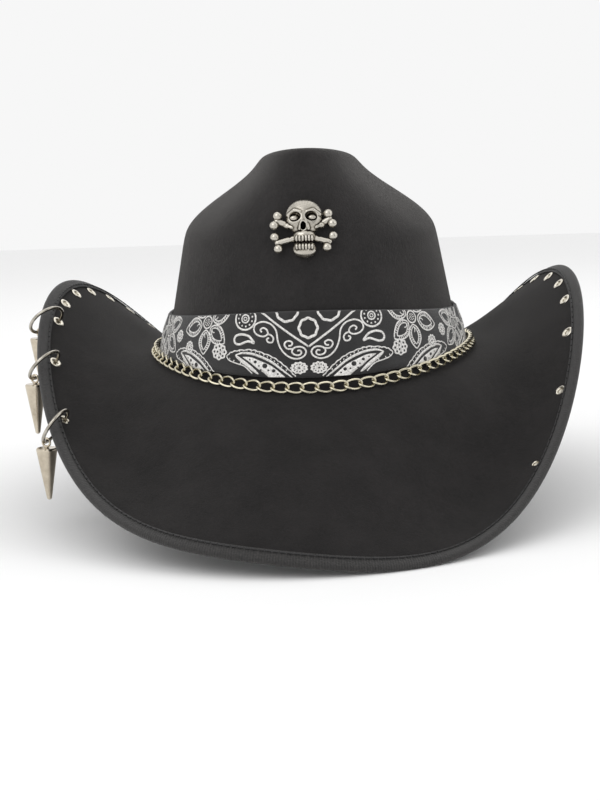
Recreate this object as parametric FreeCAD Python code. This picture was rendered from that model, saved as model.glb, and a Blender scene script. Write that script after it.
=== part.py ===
"""Black felt hat with a curled brim, folded bandana band, curb chain, skull badge and brim spikes.

Millimetres, +Z up, the hat's front faces -Y and its left side, as seen from the front, is -X.
The hat stands on the lowest points of its brim, front and back, and the origin is on that
surface under the middle of the hat. Shapes are first laid out in the hat's own frame, whose
height 0 is the brim break beside the wearer's ears, and every piece is lifted by the same
amount when it is written.

Directions round the hat are angles from the front: 0 is the front, 90 the wearer's left side
(+X), 180 the back and 270 the wearer's right side (-X).
"""
import FreeCAD, Part
import math
import os

Vector = FreeCAD.Vector

# ---- felt body ----
FELT = 2.0                  # wall of crown and brim
SEAM_GAP = 0.2              # between pieces that are sewn or pressed together
BASE_HALF_WIDTH = 84.5      # crown outside, at the brim break
BASE_HALF_LENGTH = 103.5
BREAK_DIP = 8.0             # how far the break falls at the front and the back
CROWN_TUCK = 4.0            # crown wall below the break
SHOULDER_HEIGHT = 66.0
SHOULDER_HALF_WIDTH = 72.0
SHOULDER_FRONT = 90.0
SHOULDER_BACK = 91.0
RIDGE_HEIGHT = 112.5        # top ridge over the break, at the front
RIDGE_HALF_WIDTH = 28.0
SLOPE_POWER = 0.76          # how late the slopes from shoulder to ridge draw in
RIDGE_CROWN = 1.2           # the ridge's top over its own edge
RIDGE_FRONT = 78.0
RIDGE_BACK = 70.0
RIDGE_FALL = 9.0            # the ridge is this much lower at the back
CREASE_DEPTH = 11.0         # centre crease under the ridge
SIDE_DENT = 6.0             # pinch at each side of the front
SIDE_DENT_ANGLE = 58.0
SIDE_DENT_SPREAD = 24.0

# ---- brim ----
BRIM_HALF_WIDTH = 152.5
BRIM_FRONT = 206.0          # from the middle of the hat to the brim's front edge
BRIM_BACK = 190.0
BRIM_DROP = 73.5            # front and back edge below the break's sides
SIDE_RISE = 31.0            # side edge above the break
BRIM_SWEEP = 17.8           # moves the tips of the curl towards the back
BRIM_FLARE = 5.6            # flattens the top of the curl
BRIM_TURN = -3.0            # the curl sits this many degrees off square to the crown
BRIM_LEAN = -2.6            # one side lower, as worn felt sits
BRIM_TWIST = -7.2           # one front quarter lower than the other
COLLAR_HEIGHT = 11.0        # brim felt turned up round the crown, under the band
HEM_WIDTH = 6.6
HEM_THICKNESS = 0.7
WIRE_DIAMETER = 1.6
THREAD_DIAMETER = 0.8
STITCH_SHARE = 0.8          # of each step along a seam, the rest being the gap
HEM_STITCHES_PER_STEP = 4    # the steps along the hem are about 16 mm long
SWEAT_STITCHES_PER_STEP = 2  # and along the sweatband about 8 mm

# ---- sweatband ----
SWEATBAND_HEIGHT = 30.0
SWEATBAND_THICKNESS = 1.2

# ---- bandana band ----
BAND_THICKNESS = 2.0
BAND_BOTTOM_SIDE = 1.15      # over the break beside the ears
BAND_BOTTOM_END = -3.6       # and at the front and the back
BAND_TOP_SIDE = 23.2
BAND_TOP_FRONT = 30.2
LAP_HALF_LENGTH = 20.0      # overlap of the two ends, at the back
LAP_THICKNESS = 1.0

# ---- chain ----
LINK_COUNT = 84
LINK_WIRE = 1.4
LINK_WIDTH = 6.6
LINK_PLAY = 0.5
LINK_TWIST = 0.95
LINK_LEAN = 25.0             # the links lean back on the band, their lower edges further out
CHAIN_SIDE_HEIGHT = 3.4     # middle of the links over the break, beside the ears
CHAIN_END_HEIGHT = -0.1      # and at the front and the back, where the brim falls away

# ---- badge ----
BADGE_HEIGHT = 69.0         # crossing of the bones over the break
BADGE_SIDE_OFFSET = -0.8
SKULL_WIDTH = 18.8
SKULL_TOP = 18.5            # over the crossing of the bones
SKULL_DEPTH = 8.5
SKULL_MIDDLE = 7.5
JAW_WIDTH = 12.6
JAW_BOTTOM = 13.0           # under the crossing of the bones
JAW_DEPTH = 6.5
BONE_DIAMETER = 3.2
BONE_KNOB_DIAMETER = 4.6
BONE_HALF_SPAN = 12.8
BONE_HALF_RISE = 6.0
KNOB_SPREAD = 2.1            # the two knobs of a bone's end, each way from its middle
BADGE_GAP = 0.3
SCREW_DIAMETER = 3.0
SCREW_HEAD_DIAMETER = 10.0
SCREW_HEAD_THICKNESS = 1.6
SCREW_GAP = 0.15

# ---- eyelets ----
EYELET_INSET = 10.5         # hole centre to the outer edge of the hem
EYELET_BORE = 3.2
EYELET_WALL = 0.35
EYELET_FLANGE = 7.2
FLANGE_THICKNESS = 0.3
EYELET_GAP = 0.1
EYELET_PITCH = 23.0
RING_ANGLES = (300.0, 287.0, 276.0)
FREE_SIDE_ANGLES = (56.0, 70.0, 82.0)
FIRST_PLAIN_ANGLE = 91.0

# ---- rings and spikes ----
RING_DIAMETER = 22.0        # outside
RING_WIRE = 1.9
RING_SLEW = 44.0             # turn of a resting ring about its hole, towards the front
RING_TILT = 8.0              # lift of a ring's centre above the brim's own slope at its hole
SPIKE_LENGTH = 27.5
SPIKE_DIAMETER = 11.0
SPIKE_TIP_DIAMETER = 2.6
SPIKE_RIM = 1.2             # straight rim at the top of the cone
EYE_WIRE = 1.2
EYE_BORE = 3.0
EYE_GAP = 0.15              # play between the eye and the ring it hangs on
EYE_STEM = 4.0
EYE_COLLAR = 0.6
STEM_GAP = 0.1

AROUND = 72                 # control points round every hat-sized surface
STEP = 360.0 / AROUND


def sine(angle):
    return math.sin(math.radians(angle))


def cosine(angle):
    return math.cos(math.radians(angle))


def mix(start, end, share):
    return start + (end - start) * share


# ---- smooth closed skins from rings of control points ----

def clamped_knots(count, degree):
    spans = count - degree
    mults = [degree + 1] + [1] * (spans - 1) + [degree + 1]
    return mults, [float(i) for i in range(spans + 1)]


def skin(rings):
    """One smooth face through rings of control points, closed the long way round."""
    around = len(rings[0])
    degree = min(3, len(rings) - 1)
    net = [[ring[i] for ring in rings] for i in range(around)]
    mults, knots = clamped_knots(len(rings), degree)
    surface = Part.BSplineSurface()
    surface.buildFromPolesMultsKnots(net, [1] * (around + 1), mults,
                                     [float(i) for i in range(around + 1)], knots,
                                     True, False, 3, degree)
    return surface.toShape()


def closed_solid(faces):
    shell = Part.makeShell(faces)
    if len(faces) > 1:
        shell.sewShape()
    solid = Part.makeSolid(shell)
    if solid.Volume < 0:
        solid.reverse()
    return solid


def ring_solid(outer, inner):
    """A closed strip, such as a brim or a band, between two stacks of rings."""
    return closed_solid([skin(outer), skin(inner), skin([outer[0], inner[0]]),
                         skin([outer[-1], inner[-1]])])


def loop_solid(rings):
    """A closed tube: every ring is one cross-section, and the rings follow a closed line."""
    count = len(rings)
    section = len(rings[0])
    surface = Part.BSplineSurface()
    surface.buildFromPolesMultsKnots(rings, [1] * (count + 1), [1] * (section + 1),
                                     [float(i) for i in range(count + 1)],
                                     [float(i) for i in range(section + 1)],
                                     True, True, 3, 3)
    return closed_solid([surface.toShape()])


def tube_loop(line, radius, section=10):
    """A round wire along a closed line of points."""
    spread = radius * 3.0 / (2.0 + math.cos(2 * math.pi / section))
    rings = []
    reference = None
    for i, point in enumerate(line):
        along = (line[(i + 1) % len(line)] - line[i - 1]).normalize()
        if reference is None:
            reference = along.cross(Vector(0, 0, 1))
            if reference.Length < 0.1:
                reference = along.cross(Vector(1, 0, 0))
        side = (reference - along * reference.dot(along)).normalize()
        up = along.cross(side)
        reference = side
        turn = [2 * math.pi * k / section for k in range(section)]
        rings.append([point + side * (spread * math.cos(a)) + up * (spread * math.sin(a))
                      for a in turn])
    return loop_solid(rings)


def offset_rings(rings, distance):
    """The same stack moved along its own surface normal; its poles stay single points."""
    moved = []
    for j, ring in enumerate(rings):
        below = rings[max(j - 1, 0)]
        above = rings[min(j + 1, len(rings) - 1)]
        new_ring = []
        for i, point in enumerate(ring):
            along = ring[(i + 1) % len(ring)] - ring[i - 1]
            across = above[i] - below[i]
            normal = along.cross(across)
            if along.Length < 1e-6:
                normal = Vector(0, 0, 1)
            new_ring.append(point + normal.normalize() * distance)
        moved.append(new_ring)
    return moved


# ---- crown ----

def break_height(angle):
    return -BREAK_DIP * cosine(angle) ** 2


def oval(angle, half_width, front, back, height):
    length = front if cosine(angle) >= 0 else back
    return Vector(half_width * sine(angle), -length * cosine(angle), height)


def wall_point(angle, height, outward=0.0):
    """A point on the crown's outside below its shoulder, height over the break."""
    share = height / SHOULDER_HEIGHT
    level = break_height(angle) * (1 - max(share, 0.0)) + height
    return oval(angle, mix(BASE_HALF_WIDTH, SHOULDER_HALF_WIDTH, share) + outward,
                mix(BASE_HALF_LENGTH, SHOULDER_FRONT, share) + outward,
                mix(BASE_HALF_LENGTH, SHOULDER_BACK, share) + outward, level)


def wall_ring(height, outward=0.0):
    return [wall_point(i * STEP, height, outward) for i in range(AROUND)]


def upper_point(angle, share):
    """A point on the crown between its shoulder (0) and its ridge (1)."""
    narrowing = ((1 + math.cos(math.pi * share)) / 2) ** SLOPE_POWER
    half_width = mix(RIDGE_HALF_WIDTH, SHOULDER_HALF_WIDTH, narrowing)
    point = oval(angle, half_width, mix(SHOULDER_FRONT, RIDGE_FRONT, share),
                 mix(SHOULDER_BACK, RIDGE_BACK, share), mix(SHOULDER_HEIGHT, RIDGE_HEIGHT, share))
    from_front = min(angle, 360.0 - angle)
    dent = math.exp(-((from_front - SIDE_DENT_ANGLE) / SIDE_DENT_SPREAD) ** 2)
    dent *= SIDE_DENT * math.sin(math.pi * min(share, 1.0))
    inward = Vector(point.x, point.y, 0).normalize()
    return point - inward * dent


def tip_back(point, share):
    """The upper crown leans down towards the back."""
    fall = RIDGE_FALL * share * (point.y + RIDGE_FRONT) / (RIDGE_FRONT + RIDGE_BACK)
    return Vector(point.x, point.y, point.z - fall)


def crown_rings():
    rings = [wall_ring(h) for h in (-CROWN_TUCK, 0.0, 14.0, 30.0, 46.0, 57.0)]
    for share in (0.0, 0.12, 0.26, 0.4, 0.54, 0.68, 0.82, 0.94):
        rings.append([tip_back(upper_point(i * STEP, share), share) for i in range(AROUND)])
    floor = RIDGE_HEIGHT - CREASE_DEPTH
    rings.append(top_ring(0.93, RIDGE_HEIGHT + RIDGE_CROWN * 0.5))
    rings.append(top_ring(0.72, RIDGE_HEIGHT + RIDGE_CROWN))
    rings.append(top_ring(0.5, mix(floor, RIDGE_HEIGHT, 0.8)))
    rings.append(top_ring(0.3, mix(floor, RIDGE_HEIGHT, 0.3)))
    rings.append(top_ring(0.14, floor))
    rings.append([tip_back(Vector(0, 0, floor), 1.0)] * AROUND)
    return rings


def top_ring(narrowing, height):
    width = RIDGE_HALF_WIDTH * narrowing
    shorter = RIDGE_HALF_WIDTH - width
    return [tip_back(oval(i * STEP, width, RIDGE_FRONT - shorter, RIDGE_BACK - shorter, height),
                     1.0) for i in range(AROUND)]


def make_crown():
    outer = crown_rings()
    inner = offset_rings(outer, -FELT)
    rim = skin([outer[0], inner[0]])
    wall = closed_solid([skin(outer), skin(inner), rim])
    hole = Part.makeCylinder(SCREW_DIAMETER / 2 + SCREW_GAP, 30.0,
                             BADGE_CENTRE - BADGE_NORMAL * 15.0, BADGE_NORMAL)
    return wall.cut(hole)


# ---- brim ----

def edge_point(angle):
    """The brim's cut edge, on its top side, inside the hem."""
    cover = HEM_THICKNESS + WIRE_DIAMETER + 2 * SEAM_GAP
    middle = (BRIM_FRONT - BRIM_BACK) / 2
    half_length = (BRIM_FRONT + BRIM_BACK) / 2 - cover
    ripple = -(BRIM_DROP + SIDE_RISE) / 2
    level = SIDE_RISE + ripple - BRIM_FLARE
    height = level + ripple * cosine(2 * angle) + BRIM_FLARE * cosine(4 * angle)
    height += BRIM_SWEEP * (cosine(3 * angle) - cosine(angle))
    height += BRIM_LEAN * sine(angle) + BRIM_TWIST * sine(2 * angle)
    side = (BRIM_HALF_WIDTH - cover) * sine(angle)
    ahead = middle + half_length * cosine(angle)
    return Vector(side * cosine(BRIM_TURN) + ahead * sine(BRIM_TURN),
                  side * sine(BRIM_TURN) - ahead * cosine(BRIM_TURN), height)


def root_slope(angle):
    """Slope of the brim where it leaves the crown: flat at the sides, down at both ends."""
    return -20.0 - 12.0 * cosine(2 * angle) + 2.0 * cosine(angle)


def edge_slope(angle):
    """Slope of the brim at its edge: curled up at the sides, down at both ends."""
    return 3.5 - 41.5 * cosine(2 * angle) + 2.0 * cosine(angle)


def brim_point(angle, share):
    """A point on the brim's top, from the break (0) to the cut edge (1)."""
    root = wall_point(angle, 0.0, SEAM_GAP + FELT)
    edge = edge_point(angle)
    span = edge - root
    outward = Vector(span.x, span.y, 0).normalize()
    reach = span.Length * 1.08
    start = outward * (reach * cosine(root_slope(angle)))
    start.z = reach * sine(root_slope(angle))
    end = outward * (reach * cosine(edge_slope(angle)))
    end.z = reach * sine(edge_slope(angle))
    s2 = share * share
    s3 = s2 * share
    return (root * (2 * s3 - 3 * s2 + 1) + start * (s3 - 2 * s2 + share)
            + edge * (3 * s2 - 2 * s3) + end * (s3 - s2))


def brim_length(angle):
    points = [brim_point(angle, k / 12.0) for k in range(13)]
    return sum((b - a).Length for a, b in zip(points, points[1:]))


def brim_share(angle, from_edge):
    """Share along the brim of a point this far in from the cut edge."""
    return 1.0 - from_edge / brim_length(angle)


def brim_frame(angle, from_edge):
    """Point, upward normal, outward direction and edge direction on the brim's top."""
    share = brim_share(angle, from_edge)
    point = brim_point(angle, share)
    along = (brim_point(angle + 0.5, share) - brim_point(angle - 0.5, share)).normalize()
    outward = brim_point(angle, share + 0.01) - brim_point(angle, share - 0.01)
    outward = (outward - along * outward.dot(along)).normalize()
    normal = outward.cross(along)
    if normal.z < 0:
        normal = normal * -1.0
    return point, normal, outward, along


def brim_rings():
    rings = [wall_ring(COLLAR_HEIGHT * k, SEAM_GAP + FELT) for k in (1.0, 0.6, 0.25)]
    for share in (0.0, 0.06, 0.16, 0.28, 0.4, 0.52, 0.64, 0.75, 0.85, 0.93, 1.0):
        rings.append([brim_point(i * STEP, share) for i in range(AROUND)])
    return rings


def eyelet_angles():
    """Angles of every eyelet: ring eyelets, their mirror images, then an even row to the back."""
    plain = []
    angle = FIRST_PLAIN_ANGLE
    while angle < 180.0 - 2.0:
        plain.append(angle)
        here = brim_frame(angle, EYELET_INSET)[0]
        while (brim_frame(angle, EYELET_INSET)[0] - here).Length < EYELET_PITCH:
            angle += 0.25
    return plain


def make_brim():
    outer = brim_rings()
    inner = offset_rings(outer, FELT)
    body = ring_solid(outer, inner)
    radius = EYELET_BORE / 2 + EYELET_WALL + EYELET_GAP
    holes = []
    for angle in ALL_EYELETS:
        point, normal, _, _ = eyelet_frame(angle)
        holes.append(Part.makeCylinder(radius, 12.0, point - normal * 8.0, normal))
    return body.cut(Part.makeCompound(holes))


def hem_layer(distance):
    """Rings round the brim's edge, this far off its felt: top, round the wire, underneath."""
    stack = [[] for _ in range(9)]
    wire_room = WIRE_DIAMETER + 2 * SEAM_GAP
    for i in range(AROUND):
        angle = i * STEP
        inset = HEM_WIDTH - wire_room - HEM_THICKNESS
        column = []
        for share in (1.0, 0.6, 0.2):
            point, normal, outward, _ = brim_frame(angle, inset * share)
            column.append((point, normal))
        point, normal, outward, _ = brim_frame(angle, 0.0)
        for k, (point_in, normal_in) in enumerate(column):
            stack[k].append(point_in + normal_in * distance)
            stack[8 - k].append(point_in - normal_in * (FELT + distance))
        reach = outward * (wire_room + distance)
        stack[3].append(point + normal * distance + reach * 0.85)
        stack[4].append(point - normal * (FELT / 2) + reach * 1.15)
        stack[5].append(point - normal * (FELT + distance) + reach * 0.85)
    return stack


def make_hem():
    return ring_solid(hem_layer(SEAM_GAP + HEM_THICKNESS), hem_layer(SEAM_GAP))


def make_wire():
    line = []
    for i in range(AROUND):
        point, normal, outward, _ = brim_frame(i * STEP, 0.0)
        out = SEAM_GAP + WIRE_DIAMETER / 2
        line.append(point - normal * (FELT / 2) + outward * out)
    return tube_loop(line, WIRE_DIAMETER / 2)


def stitches(poles, count):
    """The stitches that show along the smooth line of these control points, a gap after each."""
    curve = Part.BSplineCurve()
    curve.buildFromPoles(poles, True, 3)
    span = (curve.LastParameter - curve.FirstParameter) / count
    line = [curve.value(curve.FirstParameter + span * k) for k in range(count)]
    made = []
    for i, start in enumerate(line):
        step = line[(i + 1) % len(line)] - start
        made.append(Part.makeCylinder(THREAD_DIAMETER / 2, step.Length * STITCH_SHARE,
                                      start + step * ((1 - STITCH_SHARE) / 2), step))
    return Part.makeCompound(made)


def make_hem_stitching():
    line = []
    for i in range(AROUND):
        inset = HEM_WIDTH - WIRE_DIAMETER - 2 * SEAM_GAP - HEM_THICKNESS - 1.5
        point, normal, _, _ = brim_frame(i * STEP, inset)
        line.append(point + normal * (SEAM_GAP * 2 + HEM_THICKNESS + THREAD_DIAMETER / 2))
    return stitches(line, AROUND * HEM_STITCHES_PER_STEP)


# ---- bands ----

def make_sweatband():
    heights = [mix(-CROWN_TUCK, SWEATBAND_HEIGHT - CROWN_TUCK, k / 4.0) for k in range(5)]
    outside = -FELT - SEAM_GAP - 0.2
    outer = [wall_ring(h, outside) for h in heights]
    inner = [wall_ring(h, outside - SWEATBAND_THICKNESS) for h in heights]
    return ring_solid(outer, inner)


def make_sweatband_stitching():
    inward = -FELT - SEAM_GAP - 0.4 - SWEATBAND_THICKNESS - THREAD_DIAMETER / 2
    return stitches(wall_ring(3.0 - CROWN_TUCK, inward), AROUND * SWEAT_STITCHES_PER_STEP)


def band_level(angle, share):
    """Height over the break of a point on the band, from its lower edge (0) to its upper (1)."""
    dip = break_height(angle)
    top = mix(BAND_TOP_SIDE, BAND_TOP_FRONT, cosine(angle) ** 2)
    bottom = mix(BAND_BOTTOM_SIDE, BAND_BOTTOM_END, cosine(angle) ** 2)
    level = mix(bottom, top, share)
    return (level - dip) / (1 - dip / SHOULDER_HEIGHT)


def band_ring(share, outward):
    return [wall_point(i * STEP, band_level(i * STEP, share), outward) for i in range(AROUND)]


def band_offset(share):
    """The band stands off the crown by the brim's collar, and lies on the crown above it."""
    collar = 2 * SEAM_GAP + FELT
    return mix(collar, SEAM_GAP + 0.3, max(0.0, share - 0.5) / 0.5)


BAND_SHARES = (0.0, 0.12, 0.3, 0.5, 0.7, 0.88, 1.0)


def make_bandana():
    outer = [band_ring(s, band_offset(s) + BAND_THICKNESS) for s in BAND_SHARES]
    inner = [band_ring(s, band_offset(s)) for s in BAND_SHARES]
    return ring_solid(outer, inner)


def make_bandana_lap():
    """The overlapped end of the bandana, at the back: a patch on the outside of the band."""
    half_angle = math.degrees(LAP_HALF_LENGTH / BASE_HALF_LENGTH)
    angles = [mix(180.0 - half_angle, 180.0 + half_angle, k / 6.0) for k in range(7)]
    shares = [0.3, 0.5, 0.7, 0.88, 0.96]
    skins = []
    for extra in (SEAM_GAP, SEAM_GAP + LAP_THICKNESS):
        skins.append([[wall_point(a, band_level(a, s), band_offset(s) + BAND_THICKNESS + extra)
                       for a in angles] for s in shares])
    return patch_solid(skins[0], skins[1])


def patch_face(rows):
    degree_u = min(3, len(rows) - 1)
    degree_v = min(3, len(rows[0]) - 1)
    mults_u, knots_u = clamped_knots(len(rows), degree_u)
    mults_v, knots_v = clamped_knots(len(rows[0]), degree_v)
    surface = Part.BSplineSurface()
    surface.buildFromPolesMultsKnots(rows, mults_u, mults_v, knots_u, knots_v,
                                     False, False, degree_u, degree_v)
    return surface.toShape()


def patch_solid(lower, upper):
    """A thin four-sided piece between two nets of points."""
    faces = [patch_face(lower), patch_face(upper)]
    for row in (0, -1):
        faces.append(patch_face([lower[row], upper[row]]))
        faces.append(patch_face([[r[row] for r in lower], [r[row] for r in upper]]))
    return closed_solid(faces)


# ---- chain ----

def chain_path(angle):
    lean = (LINK_WIDTH - LINK_WIRE) / 2 * sine(LINK_LEAN)
    outward = 3 * SEAM_GAP + FELT + BAND_THICKNESS + LINK_WIRE / 2 + LINK_TWIST + lean
    height = mix(CHAIN_SIDE_HEIGHT, CHAIN_END_HEIGHT, cosine(angle) ** 2)
    return wall_point(angle, height, outward)


def chain_stations():
    """Evenly spaced middles of the links round the hat, with the chain's direction there."""
    fine = 1440
    points = [chain_path(180.0 + 360.0 * k / fine) for k in range(fine + 1)]
    lengths = [0.0]
    for a, b in zip(points, points[1:]):
        lengths.append(lengths[-1] + (b - a).Length)
    pitch = lengths[-1] / LINK_COUNT
    stations = []
    k = 0
    for n in range(LINK_COUNT):
        while lengths[k + 1] < n * pitch:
            k += 1
        share = (n * pitch - lengths[k]) / (lengths[k + 1] - lengths[k])
        angle = 180.0 + 360.0 * (k + share) / fine
        direction = (chain_path(angle + 0.5) - chain_path(angle - 0.5)).normalize()
        stations.append((chain_path(angle), direction, angle))
    return stations, pitch


def make_link(middle, along, angle, pitch):
    """One curb link: an oval wire twisted so that it lies flat beside its neighbours."""
    half_long = (pitch + LINK_WIRE + LINK_PLAY) / 2
    half_wide = (LINK_WIDTH - LINK_WIRE) / 2
    out = Vector(sine(angle) / BASE_HALF_WIDTH, -cosine(angle) / BASE_HALF_LENGTH, 0)
    out = (out - along * out.dot(along)).normalize()
    up = out.cross(along)
    if up.z < 0:
        up = up * -1.0
    rise = up * cosine(LINK_LEAN) - out * sine(LINK_LEAN)
    face = out * cosine(LINK_LEAN) + up * sine(LINK_LEAN)
    line = []
    for k in range(16):
        turn = 2 * math.pi * k / 16
        line.append(middle + along * (half_long * math.cos(turn))
                    + rise * (half_wide * math.sin(turn))
                    + face * (LINK_TWIST * math.sin(2 * turn)))
    return tube_loop(line, LINK_WIRE / 2, 10)


def make_chain():
    stations, pitch = chain_stations()
    links = [make_link(p, d, a, pitch) for p, d, a in stations]
    return Part.makeCompound(links[1:]), links[0]


# ---- badge ----

def badge_seat():
    """Middle of the badge on the crown's front, and the direction it faces."""
    share = (BADGE_HEIGHT - SHOULDER_HEIGHT) / (RIDGE_HEIGHT - SHOULDER_HEIGHT)
    point = tip_back(upper_point(0.0, share), share)
    above = tip_back(upper_point(0.0, share + 0.1), share + 0.1)
    up = (above - point).normalize()
    normal = Vector(1, 0, 0).cross(up)
    return point + Vector(BADGE_SIDE_OFFSET, 0, 0), normal, up


BADGE_CENTRE, BADGE_NORMAL, BADGE_UP = badge_seat()


def badge_place(x, y, z):
    """Badge coordinates: x across, y up its face, z out from the felt."""
    return BADGE_CENTRE + Vector(x, 0, 0) + BADGE_UP * y + BADGE_NORMAL * z


def badge_rotation():
    return FreeCAD.Rotation(Vector(1, 0, 0), BADGE_UP, BADGE_NORMAL, "XYZ")


def make_badge():
    """Skull over crossed bones, in the badge's own frame, then seated on the crown."""
    head = Part.makeSphere(1.0)
    scale = FreeCAD.Matrix()
    scale.scale(SKULL_WIDTH / 2, SKULL_TOP - SKULL_MIDDLE, SKULL_DEPTH)
    head = head.transformGeometry(scale)
    head.translate(Vector(0, SKULL_MIDDLE, 0))
    jaw = Part.makeBox(JAW_WIDTH, JAW_BOTTOM + SKULL_MIDDLE / 2, JAW_DEPTH)
    jaw.translate(Vector(-JAW_WIDTH / 2, -JAW_BOTTOM, 0))
    upright = [e for e in jaw.Edges if e.BoundBox.YLength < 0.1 and e.BoundBox.YMin < 0
               and e.BoundBox.ZLength > 1.0]
    jaw = jaw.makeFillet(JAW_WIDTH * 0.3, upright)
    body = head.fuse(jaw)
    middle = BONE_KNOB_DIAMETER / 2
    for side in (-1, 1):
        start = Vector(-BONE_HALF_SPAN, -side * BONE_HALF_RISE, middle)
        end = Vector(BONE_HALF_SPAN, side * BONE_HALF_RISE, middle)
        run = end - start
        body = body.fuse(Part.makeCylinder(BONE_DIAMETER / 2, run.Length, start, run))
        for point, outward in ((start, -1), (end, 1)):
            for lift in (-1, 1):
                knob = point + Vector(outward * (0.8 + lift * side * -0.8), lift * KNOB_SPREAD, 0)
                body = body.fuse(Part.makeSphere(BONE_KNOB_DIAMETER / 2, knob))
    back = Part.makeBox(80, 80, 40, Vector(-40, -40, -40 + 0.6))
    body = body.cut(back)
    body = body.removeSplitter()
    body.Placement = FreeCAD.Placement(BADGE_CENTRE + BADGE_NORMAL * BADGE_GAP, badge_rotation())
    return body


def make_badge_screw():
    """Flat-headed screw from inside the crown into the back of the badge."""
    inside = -FELT - SEAM_GAP - SCREW_HEAD_THICKNESS - 0.6
    shank_start = badge_place(0, 0, inside)
    head = Part.makeCylinder(SCREW_HEAD_DIAMETER / 2, SCREW_HEAD_THICKNESS, shank_start,
                             BADGE_NORMAL)
    shank = Part.makeCylinder(SCREW_DIAMETER / 2, BADGE_GAP + 0.6 - inside, shank_start,
                              BADGE_NORMAL)
    return head.fuse(shank).removeSplitter()


# ---- eyelets, rings and spikes ----

def eyelet_frame(angle):
    """Eyelet seat on the brim's top: point, normal, outward direction, edge direction."""
    cover = HEM_THICKNESS + WIRE_DIAMETER + 2 * SEAM_GAP
    return brim_frame(angle, EYELET_INSET - cover)


def turned(profile, point, axis):
    """A solid of revolution: (radius, height) corners about an axis through a point."""
    corners = [Vector(r, 0, z) for r, z in profile]
    wire = Part.makePolygon(corners + [corners[0]])
    body = Part.Face(wire).revolve(Vector(0, 0, 0), Vector(0, 0, 1), 360)
    body.Placement = FreeCAD.Placement(point, FreeCAD.Rotation(Vector(0, 0, 1), axis))
    return body


def make_eyelet(angle):
    """Flange on the felt, barrel through it and a rolled flange below the washer."""
    point, normal, _, _ = eyelet_frame(angle)
    bore = EYELET_BORE / 2
    barrel = bore + EYELET_WALL
    flange = EYELET_FLANGE / 2
    top = EYELET_GAP
    bottom = -FELT - 2 * EYELET_GAP - FLANGE_THICKNESS
    profile = [(bore, bottom), (barrel, bottom), (barrel, top), (flange, top),
               (flange - 0.15, top + FLANGE_THICKNESS), (bore, top + FLANGE_THICKNESS)]
    return turned(profile, point, normal)


def make_eyelet_washer(angle):
    point, normal, _, _ = eyelet_frame(angle)
    inner = EYELET_BORE / 2 + EYELET_WALL + EYELET_GAP / 2
    outer = EYELET_FLANGE / 2
    top = -FELT - EYELET_GAP
    profile = [(inner, top - FLANGE_THICKNESS), (outer, top - FLANGE_THICKNESS), (outer, top),
               (inner, top)]
    return turned(profile, point, normal)


def ring_layout(angle):
    """Hole point, hole axis, ring axis, centre and wire radius of a ring lying on the brim's edge."""
    point, normal, outward, along = eyelet_frame(angle)
    hole = point - normal * (FELT / 2)
    level = outward * cosine(RING_SLEW) + along * sine(RING_SLEW)
    axis = normal.cross(level)
    reach = level * cosine(RING_TILT) + normal * sine(RING_TILT)
    radius = (RING_DIAMETER - RING_WIRE) / 2
    return hole, normal, axis, hole + reach * radius, radius


def make_ring(angle):
    hole, normal, axis, centre, radius = ring_layout(angle)
    return Part.makeTorus(radius, RING_WIRE / 2, centre, axis)


def spike_hang(angle):
    """Lowest point of the ring, the wire's direction there, and the middle of the eye."""
    hole, normal, axis, centre, radius = ring_layout(angle)
    down = (axis * axis.z - Vector(0, 0, 1)).normalize()
    seat = centre + down * radius
    wire = axis.cross(down)
    return seat, wire, seat - Vector(0, 0, (EYE_BORE - RING_WIRE) / 2 - EYE_GAP)


def make_spike_eye(angle):
    seat, wire, middle = spike_hang(angle)
    mean = (EYE_BORE + EYE_WIRE) / 2
    loop = Part.makeTorus(mean, EYE_WIRE / 2, middle, wire)
    top = middle - Vector(0, 0, mean)
    collar = Part.makeCylinder(EYE_WIRE, EYE_COLLAR, top - Vector(0, 0, EYE_COLLAR),
                               Vector(0, 0, 1))
    stem_length = EYE_COLLAR + EYE_STEM
    stem = Part.makeCylinder(EYE_WIRE / 2, stem_length, top - Vector(0, 0, stem_length),
                             Vector(0, 0, 1))
    return loop.fuse([collar, stem]).removeSplitter()


def make_spike(angle):
    seat, wire, middle = spike_hang(angle)
    top = middle - Vector(0, 0, (EYE_BORE + EYE_WIRE) / 2 + EYE_COLLAR + STEM_GAP)
    radius = SPIKE_DIAMETER / 2
    tip = SPIKE_TIP_DIAMETER / 2
    stem = EYE_WIRE / 2 + STEM_GAP
    depth = EYE_STEM + STEM_GAP
    profile = [(stem, 0), (radius - 0.5, 0), (radius, -0.5), (radius, -SPIKE_RIM),
               (tip, -SPIKE_LENGTH + 0.6), (tip * 0.5, -SPIKE_LENGTH), (0, -SPIKE_LENGTH),
               (0, -depth), (stem, -depth)]
    return turned(profile, top, Vector(0, 0, 1))


# ---- assembly ----

PLAIN_ANGLES = eyelet_angles()
LEFT_EYELETS = [360.0 - a for a in PLAIN_ANGLES]
RIGHT_EYELETS = list(FREE_SIDE_ANGLES) + PLAIN_ANGLES
ALL_EYELETS = list(RING_ANGLES) + LEFT_EYELETS + RIGHT_EYELETS


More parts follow.
